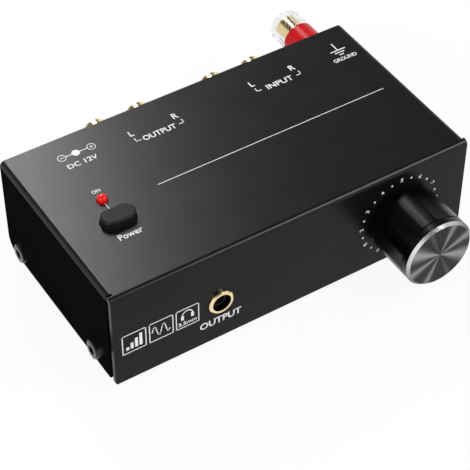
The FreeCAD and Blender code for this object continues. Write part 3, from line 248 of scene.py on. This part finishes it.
def knob_shader():
    """Black anodised aluminium with painted sheen on its spun face and bevel, and satin sides."""
    shader = Shader("knob_anodised")
    across, height, radius = shader.around(KNOB_AXIS)
    depth = shader.split(shader.place)["Y"]
    on_face = shader.math("LESS_THAN", depth, KNOB_FACE_Y + FACE_DEPTH)
    near_front = shader.math("LESS_THAN", depth, KNOB_FACE_Y + BEVEL_DEPTH)
    on_bevel = shader.minus(near_front, on_face)

    rings = shader.math("SINE", shader.times(radius, 2 * math.pi / RING_SPACING))
    uneven = shader.noise(1800.0, 3.0)
    spun = shader.plus(shader.times(rings, 0.5), uneven)
    angle = shader.math("ARCTAN2", height, across)
    sheen = shader.times(spun, 0.05)
    # The rays are painted highlights in the face's colour, fixed to the knob so they turn with it.
    for degrees, sharpness, strength in PAINTED_SHEEN_RAYS:
        off = shader.times(shader.minus(angle, math.radians(degrees)), 2.0)
        ray = shader.math("POWER", shader.math("MAXIMUM", shader.math("COSINE", off), 0.0), sharpness)
        sheen = shader.plus(sheen, shader.times(ray, strength))
    sheen = shader.times(sheen, shader.spread(spun, 0.75, 1.1, -0.3, 1.3))

    face = shader.blend(sheen, (0.012, 0.012, 0.0125), (0.46, 0.46, 0.47))
    brushed = shader.spread(shader.noise(700.0, 2.0, (1, 0.15, 1)), 0.0, 1.0)
    side = shader.blend(brushed, (0.010, 0.010, 0.011), (0.024, 0.024, 0.025))
    # Painted highlight: the bevel's colour runs from dark to light toward its upper side.
    toward_painted_light = shader.plus(shader.times(across, PAINTED_BEVEL_LIGHT[0]), shader.times(height, PAINTED_BEVEL_LIGHT[1]))
    bevel = shader.blend(shader.spread(toward_painted_light, 0.0, 1.0, *BEVEL_STRETCH),
                         (0.04, 0.04, 0.042), (0.75, 0.75, 0.77))
    colour = shader.blend(on_bevel, shader.blend(near_front, side, face), bevel)
    roughness = shader.plus(shader.spread(uneven, 0.27, 0.36), shader.times(on_bevel, -0.08))
    tangent = shader.add("ShaderNodeTangent", direction_type="RADIAL", axis="Y")
    shader.put(Base_Color=colour, Roughness=roughness, Metallic=1.0, Anisotropic=shader.times(on_face, 0.8),
               Anisotropic_Rotation=0.25, Tangent=tangent.outputs["Tangent"])
    shader.bump(shader.plus(shader.times(rings, on_face), shader.times(uneven, 0.4)), 0.0025 * MM)
    return shader


def jack_shader():
    """Gold ring whose bore inside the rim is painted black as shade."""
    shader = Shader("jack_gold")
    low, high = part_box("jack_ring")
    radius = shader.around((low + high) / 2)[2]
    on_rim = shader.spread(radius, 0.0, 1.0, RIM_START, RIM_END)
    fine = shader.noise(1600.0)
    # Painted shade: black in the bore inside the rim, gold outside it.
    shader.put(Base_Color=shader.blend(on_rim, (0.008, 0.007, 0.006), (0.93, 0.74, 0.42)),
               Roughness=shader.spread(fine, 0.14, 0.22), Metallic=1.0)
    shader.bump(fine, 0.0015 * MM)
    return shader


def lamp_shader():
    """Tinted resin of the lamp, lit from inside and brighter at its crown."""
    shader = Shader("lamp_red")
    low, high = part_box("power_led")
    crown = shader.spread(shader.split(shader.place)["Z"], 0.0, 1.0, high.z - CROWN_DEPTH, high.z)
    mottle = shader.noise(1500.0)
    glow = shader.times(crown, shader.spread(mottle, 0.85, 1.0))
    colour = shader.blend(glow, (0.34, 0.0, 0.002), (0.8, 0.006, 0.006))
    shader.put(Base_Color=colour, Emission_Color=colour, Emission_Strength=LAMP_GLOW,
               Roughness=shader.spread(mottle, 0.1, 0.16), Specular_IOR_Level=0.4)
    shader.bump(mottle, 0.001 * MM)
    return shader


def clear_shader():
    """Clear moulded acrylic with faint flow marks."""
    shader = Shader("clear_acrylic")
    flow = shader.noise(260.0, 2.0, (1, 0.3, 1))
    colour = shader.blend(shader.spread(flow, 0.0, 1.0), (0.82, 0.82, 0.82), (0.88, 0.88, 0.88))
    shader.put(Base_Color=colour, Roughness=shader.spread(flow, 0.01, 0.03),
               Transmission_Weight=1.0, IOR=1.14)
    shader.bump(flow, 0.01 * MM)
    return shader


SHADERS = (
    case_shader(),
    finish_shader("inner_paint", (0.003, 0.003, 0.0032), 0.5, grain_scale=4200.0, Specular_IOR_Level=0.03),
    finish_shader("black_oxide", (0.008, 0.008, 0.0085), 0.22, grain_scale=3800.0, stretch=(1, 4, 4),
                  Specular_IOR_Level=0.4),
    finish_shader("button_black", (0.009, 0.009, 0.0095), 0.45, grain_scale=3600.0, Specular_IOR_Level=0.14),
    finish_shader("black_plastic", (0.016, 0.016, 0.016), 0.42, grain_scale=3000.0),
    finish_shader("rubber", (0.018, 0.018, 0.018), 0.75, grain_scale=2200.0, grain_depth=0.01 * MM,
                  Specular_IOR_Level=0.3),
    finish_shader("zinc", (0.62, 0.61, 0.58), 0.3, grain_scale=1600.0, stretch=(1, 6, 1), Metallic=1.0),
    finish_shader("tin", (0.72, 0.72, 0.7), 0.24, grain_scale=1900.0, Metallic=1.0),
    finish_shader("can", (0.66, 0.68, 0.7), 0.28, stretch=(1, 1, 5), Metallic=1.0),
    finish_shader("gold", (0.95, 0.78, 0.4), 0.18, mottle=0.06, grain_scale=1700.0, grain_depth=0.0015 * MM,
                  stretch=(1, 5, 1), Metallic=1.0),
    finish_shader("pale_gold", (0.72, 0.52, 0.24), 0.26, Metallic=1.0),
    finish_shader("white_plastic", (0.78, 0.77, 0.73), 0.38, mottle=0.05, grain_scale=2600.0),
    finish_shader("red_plastic", (0.52, 0.005, 0.010), 0.3, mottle=0.1, grain_depth=0.002 * MM,
                  Specular_IOR_Level=0.15),
    finish_shader("board_green", (0.012, 0.09, 0.03), 0.34, mottle=0.25, mottle_scale=260.0,
                  grain_scale=1700.0),
    finish_shader("film_red", (0.4, 0.06, 0.03), 0.3),
    finish_shader("resistor_blue", (0.2, 0.42, 0.55), 0.3),
    finish_shader("wire_green", (0.03, 0.28, 0.06), 0.4),
    finish_shader("white_ink", (0.80, 0.80, 0.80), 0.55, mottle=0.07, mottle_scale=900.0, grain_scale=6500.0,
                  Specular_IOR_Level=0.3),
    knob_shader(),
    jack_shader(),
    lamp_shader(),
    clear_shader(),
)
MATERIALS = {shader.name: shader.material for shader in SHADERS}

NODE_MATERIALS = {
    "case_paint": ("top_cover",),
    "inner_paint": ("base_tray",),
    "black_oxide": ("side_screws", "socket_block_screws", "knob_grub_screw"),
    "button_black": ("power_button",),
    "black_plastic": ("switch_housing", "led_spacer", "jack_housing", "output_socket_block",
                      "input_socket_block", "power_inlet_housing", "ground_post_bush",
                      "potentiometer_housing", "amplifier_chips", "regulator_body"),
    "rubber": ("rubber_feet",),
    "zinc": ("board_standoffs", "board_screws", "potentiometer_frame", "potentiometer_washer",
             "potentiometer_nut", "potentiometer_shaft"),
    "tin": ("potentiometer_pins", "led_leads", "jack_contacts", "power_inlet_pin", "ground_lug", "chip_legs",
            "regulator_legs"),
    "can": ("small_capacitors", "large_capacitors", "regulator_tab"),
    "gold": ("socket_barrels", "thumb_nut_core", "ground_clamp_washer"),
    "jack_gold": ("jack_ring",),
    "pale_gold": ("socket_center_contacts", "ground_lock_nut", "ground_post_stud"),
    "white_plastic": ("left_socket_insulators", "switch_plunger"),
    "red_plastic": ("right_socket_insulators", "ground_post_collar", "thumb_nut_ring"),
    "board_green": ("circuit_board",),
    "film_red": ("film_capacitors",),
    "resistor_blue": ("resistors",),
    "wire_green": ("ground_wire",),
    "knob_anodised": ("volume_knob",),
    "lamp_red": ("power_led",),
    "clear_acrylic": ("thumb_nut_shell",),
}


def set_material(thing, material):
    """Gives every material slot of an object the same material."""
    if not thing.material_slots:
        thing.data.materials.append(material)
    for slot in thing.material_slots:
        slot.material = material


for finish, names in NODE_MATERIALS.items():
    for node_name in names:
        set_material(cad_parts[node_name], MATERIALS[finish])


# Printed markings. Their sizes and places are in millimetres: across from the middle of the case, then back
# from its front face on the top, or up from the cover's lower edge on the front.

INK_LIFT = 0.003
INK_THICKNESS = 0.012
JOIN_DISTANCE = 0.0001
LETTER_WEIGHT = 0.022
LETTER_STEPS = 4
SURFACES = {
    "top": Matrix.Translation((0, FRONT_Y, TOP_Z)),
    "front": Matrix.Translation((0, FRONT_Y, SKIRT_Z)) @ Matrix.Rotation(math.pi / 2, 4, "X"),
}


def add_mark(name, mesh, surface):
    """Puts a flat mesh on a surface of the case as printed ink."""
    mesh.transform(SURFACES[surface] @ Matrix.Scale(MM, 4))
    piece = bpy.data.objects.new(name, mesh)
    bpy.context.scene.collection.objects.link(piece)
    set_material(piece, MATERIALS["white_ink"])
    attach(piece, CASE_BODY)
    return piece


def thicken(mesh):
    """Gives a flat mesh the thickness of printed ink."""
    bm = bmesh.new()
    bm.from_mesh(mesh)
    bmesh.ops.remove_doubles(bm, verts=bm.verts, dist=JOIN_DISTANCE)
    raised = bmesh.ops.extrude_face_region(bm, geom=bm.faces[:])
    for item in raised["geom"]:
        if isinstance(item, bmesh.types.BMVert):
            item.co.z += INK_THICKNESS
    bmesh.ops.recalc_face_normals(bm, faces=bm.faces)
    bm.to_mesh(mesh)
    bm.free()


def add_words(name, words, left, right, base, height, surface="top"):
    """Prints words between two places across the case, on a base line, with a capital height."""
    curve = bpy.data.curves.new(name + "_letters", "FONT")
    curve.body = words
    curve.resolution_u = LETTER_STEPS
    curve.offset = LETTER_WEIGHT
    holder = bpy.data.objects.new(name + "_holder", curve)
    bpy.context.scene.collection.objects.link(holder)
    bpy.context.view_layer.update()
    mesh = bpy.data.meshes.new_from_object(holder.evaluated_get(bpy.context.evaluated_depsgraph_get()))
    bpy.data.objects.remove(holder)
    xs = [vertex.co.x for vertex in mesh.vertices]
    ys = [vertex.co.y for vertex in mesh.vertices]
    wide = (right - left) / (max(xs) - min(xs))
    tall = height / (max(ys) - min(ys))
    for vertex in mesh.vertices:
        across = (vertex.co.x - min(xs)) * wide + left
        up = (vertex.co.y - min(ys)) * tall + base
        vertex.co = (across, up, INK_LIFT)
    thicken(mesh)
    return add_mark(name, mesh, surface)


class Drawing:
    """Flat strokes, bars and arcs gathered into one printed piece."""

    def __init__(self):
        self.bm = bmesh.new()

    def area(self, points):
        """Adds a filled outline."""
        self.bm.faces.new([self.bm.verts.new((x, y, INK_LIFT)) for x, y in points])

    def bar(self, left, right, low, high):
        """Adds a filled rectangle."""
        self.area([(left, low), (right, low), (right, high), (left, high)])

    def stroke(self, points, width):
        """Adds a line of a given width through the points, with square ends."""
        for (x1, y1), (x2, y2) in zip(points, points[1:]):
            along = Vector((x2 - x1, y2 - y1)).normalized() * width / 2
            aside = Vector((-along.y, along.x))
            start = Vector((x1, y1)) - along
            end = Vector((x2, y2)) + along
            self.area([start - aside, end - aside, end + aside, start + aside])

    def arc(self, x, y, radius, width, end=360.0, steps=24):
        """Adds a ring, or a part of one from zero to an angle in degrees."""
        angles = [math.radians(end * index / steps) for index in range(steps + 1)]
        inner, outer = radius - width / 2, radius + width / 2
        for one, two in zip(angles, angles[1:]):
            corners = ((inner, one), (outer, one), (outer, two), (inner, two))
            self.area([(x + reach * math.cos(angle), y + reach * math.sin(angle))
                       for reach, angle in corners])

    def dot(self, x, y, radius, steps=20):
        """Adds a filled disc."""
        angles = [2 * math.pi * index / steps for index in range(steps)]
        self.area([(x + radius * math.cos(angle), y + radius * math.sin(angle)) for angle in angles])

    def print_on(self, name, surface):
        """Turns the drawing into a printed piece."""
        mesh = bpy.data.meshes.new(name)
        self.bm.to_mesh(mesh)
        self.bm.free()
        thicken(mesh)
        add_mark(name, mesh, surface)


def mark_sockets(name, left, right, word_left, word_right):
    """Letters for the two channels with a corner that leads to the word between them."""
    corner_top = 48.6
    corner_level = 47.3
    corner_reach = 1.3
    line = 0.26
    for side, letter, middle, half in (("left", "L", left, 0.65), ("right", "R", right, 0.85)):
        add_words(f"{name}_letter_{side}", letter, middle - half, middle + half, base=49.7, height=2.2)
    add_words(f"{name}_word", name.upper(), word_left, word_right, base=46.3, height=2.0)
    bracket = Drawing()
    for foot, reach in ((left - 0.2, corner_reach), (right + 0.8, -corner_reach)):
        bracket.stroke([(foot, corner_top), (foot, corner_level), (foot + reach, corner_level)], line)
    bracket.print_on(f"{name}_bracket", "top")


def mark_ground():
    """Ground sign and its word beside the terminal."""
    middle = 47.3
    stem_top = 53.5
    half_line = 0.18
    bars = ((2.5, 50.2), (1.6, 49.2), (0.75, 48.2))
    sign = Drawing()
    sign.bar(middle - half_line, middle + half_line, bars[0][1], stem_top)
    for half, level in bars:
        sign.bar(middle - half, middle + half, level - half_line, level + half_line)
    sign.print_on("ground_sign", "top")
    add_words("ground_word", "GROUND", left=43.5, right=51.1, base=45.7, height=1.45)


def mark_lamp_and_button():
    """Words of the lamp and the button, and the line between them."""
    add_words("lamp_word", "ON", left=-40.0, right=-37.6, base=35.6, height=1.25)
    add_words("power_word", "Power", left=-42.3, right=-35.4, base=17.0, height=2.1)
    link = Drawing()
    link.bar(left=-39.1, right=-38.9, low=28.7, high=31.0)
    link.print_on("lamp_line", "top")


def mark_inlet():
    """Polarity sign, with minus and plus in rings on either side of a dot, and the inlet's words."""
    minus = -40.3
    middle = -36.1
    plus = -31.4
    level = 52.1
    radius = 1.15
    ring_line = 0.2
    half_cross = 0.55
    half_cross_line = 0.11
    half_link = 0.13
    dot_inset = 1.1
    sign = Drawing()
    for ring in (minus, plus):
        sign.arc(ring, level, radius, ring_line)
        sign.bar(ring - half_cross, ring + half_cross, level - half_cross_line, level + half_cross_line)
    sign.bar(plus - half_cross_line, plus + half_cross_line, level - half_cross, level + half_cross)
    sign.dot(middle, level, radius)
    for start, end in ((minus + radius, middle - dot_inset), (middle + dot_inset, plus - radius)):
        sign.bar(start, end, level - half_link, level + half_link)
    sign.print_on("polarity_sign", "top")
    add_words("inlet_word", "DC 12V", left=-40.6, right=-31.7, base=47.2, height=1.8)


def draw_frames(drawing):
    """Three boxes in a row."""
    low = 10.1
    high = 16.8
    line = 0.28
    for left, right in ((-52.4, -45.6), (-44.5, -37.6), (-36.6, -29.9)):
        drawing.stroke([(left, low), (right, low), (right, high), (left, high), (left, low)], line)


def draw_rising_bars(drawing):
    """Four bars, each higher than the one before."""
    first_left = -51.4
    pitch = 1.3
    width = 0.85
    low = 11.2
    first_high = 12.3
    rise = 1.1
    for index in range(4):
        left = first_left + index * pitch
        drawing.bar(left, left + width, low, first_high + index * rise)


def draw_wave(drawing):
    """A line that waves about a level."""
    left = -43.7
    step = 0.27
    level = 13.45
    reach = 1.9
    line = 0.32
    points_per_wave = 10
    points = [(left + index * step, level + reach * math.sin(2 * math.pi * index / points_per_wave))
              for index in range(2 * points_per_wave)]
    drawing.stroke(points, line)


def draw_headphones(drawing):
    """A head band with an ear pad at each end."""
    middle = -33.25
    level = 14.3
    radius = 1.55
    line = 0.32
    pad_offset = 1.5
    half_pad = 0.42
    pad_low = 12.9
    pad_high = 14.4
    drawing.arc(middle, level, radius, line, end=180, steps=16)
    for side in (-1, 1):
        pad = middle + side * pad_offset
        drawing.bar(pad - half_pad, pad + half_pad, pad_low, pad_high)


def mark_front():
    """Signs and words beside the headphone output on the front."""
    signs = Drawing()
    for draw in (draw_frames, draw_rising_bars, draw_wave, draw_headphones):
        draw(signs)
    signs.print_on("front_signs", "front")
    add_words("plug_size", "3.5mm", left=-36.0, right=-30.5, base=10.8, height=1.35, surface="front")
    add_words("headphone_word", "OUTPUT", left=-29.6, right=-16.9, base=5.6, height=2.4, surface="front")


def mark_dial():
    """Numbers from zero to ten round the volume knob, with dots between them."""
    first_angle = 150
    step = 30
    last = 10
    number_radius = 12.3
    number_height = 1.3
    half_digit = 0.45
    half_ten = 0.8
    dot_ring = 12.1
    dot_radius = 0.34
    dot_steps = 12
    axis_x = KNOB_AXIS.x / MM
    axis_z = (KNOB_AXIS.z - SKIRT_Z) / MM
    dots = Drawing()
    for number in range(last + 1):
        angle = math.radians(first_angle - step * number)
        half = half_ten if number == last else half_digit
        piece = add_words(f"dial_{number}", str(number), left=-half, right=half, base=-number_height / 2,
                          height=number_height, surface="front")
        across = (axis_x - number_radius * math.sin(angle)) * MM
        up = (axis_z + number_radius * math.cos(angle)) * MM
        to_origin = Matrix.Translation((0, 0, -SKIRT_Z))
        turn = Matrix.Rotation(-angle, 4, "Y")
        to_place = Matrix.Translation((across, 0, up + SKIRT_Z))
        piece.data.transform(to_place @ turn @ to_origin)
        if number < last:
            between = angle - math.radians(step / 2)
            dots.dot(axis_x - dot_ring * math.sin(between), axis_z + dot_ring * math.cos(between),
                     dot_radius, dot_steps)
    dots.print_on("dial_dots", "front")


def mark_title_rule():
    """The thin line along the top."""
    rule = Drawing()
    rule.bar(left=-23.8, right=48.6, low=29.72, high=29.92)
    rule.print_on("title_rule", "top")


mark_sockets("output", left=-19.9, right=-6.2, word_left=-18.1, word_right=-7.9)
mark_sockets("input", left=18.6, right=32.0, word_left=21.5, word_right=30.0)
mark_ground()
mark_lamp_and_button()
mark_inlet()
mark_front()
mark_dial()
mark_title_rule()


# Studio


def add_softbox(name, place, width, height, power):
    """A rectangular soft light that points at the object, with its size in metres and its power in watts."""
    light = bpy.data.lights.new(name, "AREA")
    light.shape = "RECTANGLE"
    light.size = width
    light.size_y = height
    light.energy = power
    lamp = bpy.data.objects.new(name, light)
    bpy.context.scene.collection.objects.link(lamp)
    lamp.location = place
    lamp.rotation_mode = "QUATERNION"
    lamp.rotation_quaternion = (LIGHT_TARGET - Vector(place)).to_track_quat("-Z", "Y")


def floor_material():
    """Matt grey that catches the shadow, mixed with plain white for the camera and for reflections."""
    material = bpy.data.materials.new("studio_floor")
    material.use_nodes = True
    nodes = Nodes(material.node_tree)
    nodes.tree.nodes.remove(nodes.tree.nodes["Principled BSDF"])
    matt = nodes.add("ShaderNodeBsdfDiffuse")
    matt.inputs["Color"].default_value = (FLOOR_GREY, FLOOR_GREY, FLOOR_GREY, 1)
    white = nodes.add("ShaderNodeEmission")
    white.inputs["Color"].default_value = (1, 1, 1, 1)
    path = nodes.add("ShaderNodeLightPath").outputs
    reflected = nodes.math("MAXIMUM", path["Is Glossy Ray"], path["Is Transmission Ray"])
    seen = nodes.math("MAXIMUM", path["Is Camera Ray"], reflected)
    mix = nodes.add("ShaderNodeMixShader")
    nodes.link(nodes.times(seen, FLOOR_WHITE), mix.inputs[0])
    nodes.link(matt.outputs[0], mix.inputs[1])
    nodes.link(white.outputs[0], mix.inputs[2])
    nodes.link(mix.outputs[0], nodes.tree.nodes["Material Output"].inputs["Surface"])
    return material


def add_floor():
    """Plain pale floor that keeps the object's soft shadow."""
    mesh = bpy.data.meshes.new("studio_floor")
    corners = [(x * FLOOR_REACH, y * FLOOR_REACH, 0) for x, y in ((-1, -1), (1, -1), (1, 1), (-1, 1))]
    mesh.from_pydata(corners, [], [(0, 1, 2, 3)])
    mesh.materials.append(floor_material())
    floor = bpy.data.objects.new("studio_floor", mesh)
    bpy.context.scene.collection.objects.link(floor)


def set_world():
    """White surroundings under a darker ceiling, which gives gloss its depth."""
    world = bpy.data.worlds.new("studio_world")
    bpy.context.scene.world = world
    world.use_nodes = True
    nodes = Nodes(world.node_tree)
    background = nodes.tree.nodes["Background"]
    background.inputs["Color"].default_value = (1, 1, 1, 1)
    upward = nodes.split(nodes.add("ShaderNodeTexCoord").outputs["Generated"])["Z"]
    strength = nodes.spread(upward, 1.0, CEILING_STRENGTH, CEILING_START, CEILING_END)
    nodes.link(strength, background.inputs["Strength"])


def add_camera():
    """Camera at the photograph's angle."""
    data = bpy.data.cameras.new("photo_camera")
    data.lens = CAMERA_LENS
    data.sensor_width = SENSOR_WIDTH
    data.clip_start = NEAR_LIMIT
    data.clip_end = FAR_LIMIT
    camera = bpy.data.objects.new("photo_camera", data)
    bpy.context.scene.collection.objects.link(camera)
    camera.location = CAMERA_PLACE
    camera.rotation_mode = "QUATERNION"
    camera.rotation_quaternion = (CAMERA_TARGET - CAMERA_PLACE).to_track_quat("-Z", "Y")
    bpy.context.scene.camera = camera


add_floor()
set_world()
add_camera()
add_softbox("rear_softbox", (0.07, 0.44, 0.46), width=0.16, height=0.30, power=2.0)
add_softbox("left_softbox", (-0.60, -0.25, 0.45), width=0.25, height=0.25, power=2.6)
add_softbox("front_softbox", (0.35, -0.40, 0.55), width=0.25, height=0.25, power=2.4)

bpy.context.scene.view_settings.view_transform = "Standard"
